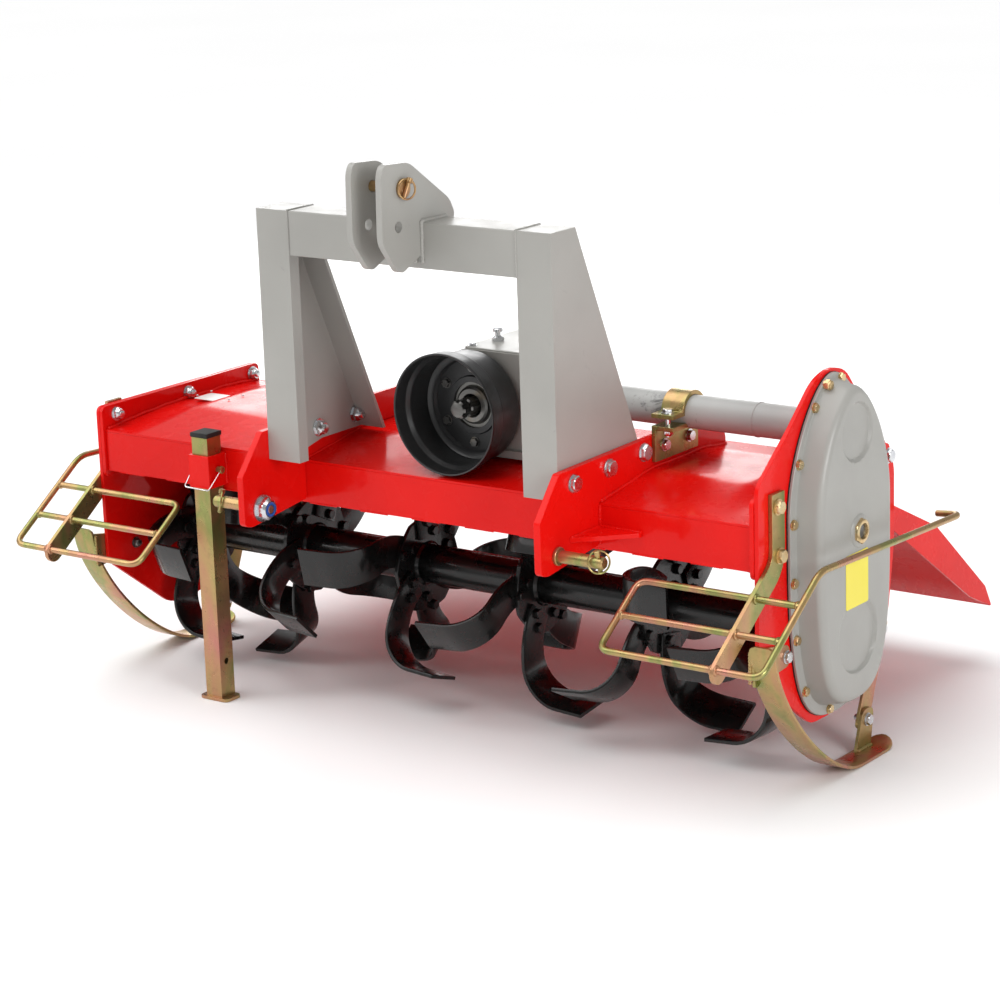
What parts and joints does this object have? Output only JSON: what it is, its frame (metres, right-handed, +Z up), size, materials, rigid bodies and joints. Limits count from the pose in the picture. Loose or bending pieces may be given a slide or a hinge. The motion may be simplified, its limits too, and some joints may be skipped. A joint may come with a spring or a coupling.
{
  "type": "rotary tiller",
  "caption": "Tractor-mounted rotary tiller: a bladed rotor under a red hood, driven through a gearbox and a side case, with a three-point mast, guards, skids, a parking stand and a tailgate.",
  "frame": {"origin": "centre of the base of the bounding box, on the ground", "axes": "+X towards the drive case, -Y towards the tractor, +Z up"},
  "size_m": [1.6786, 1.1084, 1.0745],
  "materials": {
    "red_paint": "gloss red paint",
    "grey_paint": "satin grey paint",
    "yellow_zinc": "yellow zinc plating with a faint rainbow sheen",
    "silver_zinc": "bright zinc plating",
    "black_paint": "gloss black paint",
    "black_plastic": "moulded black plastic with a soft sheen",
    "black_rubber": "black gasket"
  },
  "bodies": {
    "frame": {"deck_cover": "red_paint", "front_beam": "red_paint", "deck_end_plate_left": "red_paint", "deck_end_plate_right": "red_paint", "side_plate_left": "red_paint", "side_plate_right": "red_paint", "hitch_plate_left": "red_paint", "hitch_plate_right": "red_paint", "hitch_gusset_left": "red_paint", "hitch_gusset_right": "red_paint", "stand_socket": "red_paint", "mast_leg_left": "grey_paint", "mast_leg_right": "grey_paint", "mast_crossbar": "grey_paint", "top_link_ear_left": "grey_paint", "top_link_ear_right": "grey_paint", "gearbox": "grey_paint", "cross_tube": "grey_paint", "drive_cover": "grey_paint", "lower_pin_left": "yellow_zinc", "lower_pin_right": "yellow_zinc", "top_link_pin": "yellow_zinc", "skid_left": "yellow_zinc", "skid_right": "yellow_zinc", "skid_strap_left": "yellow_zinc", "skid_strap_right": "yellow_zinc", "guard_left": "yellow_zinc", "guard_right": "yellow_zinc", "tube_clamp_bracket": "yellow_zinc", "tube_clamp_cap": "yellow_zinc", "tailgate_hinge_rod": "silver_zinc", "rotor_bearing": "black_paint", "pto_shield": "black_plastic", "drive_gasket": "black_rubber"},
    "rotor": {"rotor_tube": "black_paint", "tine_set_1": "black_paint", "tine_set_2": "black_paint", "tine_set_3": "black_paint", "tine_set_4": "black_paint", "tine_set_5": "black_paint", "tine_set_6": "black_paint"},
    "input_shaft": {"pto_shaft": "silver_zinc"},
    "tailgate": {"tailgate": "red_paint"},
    "stand": {"stand_leg": "yellow_zinc", "stand_cap": "black_plastic"}
  },
  "joints": [
    {"name": "rotor_spin", "type": "hinge", "parent": "frame", "child": "rotor", "pos_m": [0, -0.1126, 0.244], "axis": [1, 0, 0], "continuous": true},
    {"name": "pto_spin", "type": "hinge", "parent": "frame", "child": "input_shaft", "pos_m": [0.0915, -0.2566, 0.603], "axis": [0, -1, 0], "continuous": true},
    {"name": "tailgate_hinge", "type": "hinge", "parent": "frame", "child": "tailgate", "pos_m": [0, 0.1194, 0.42], "axis": [1, 0, 0], "range_deg": [0, 55]},
    {"name": "stand_slide", "type": "slide", "parent": "frame", "child": "stand", "axis": [0, 0, 1], "range_m": [0, 0.375]}
  ],
  "couplings": [
    {"joint": "pto_spin", "follows": "rotor_spin", "ratio": 2.6}
  ]
}
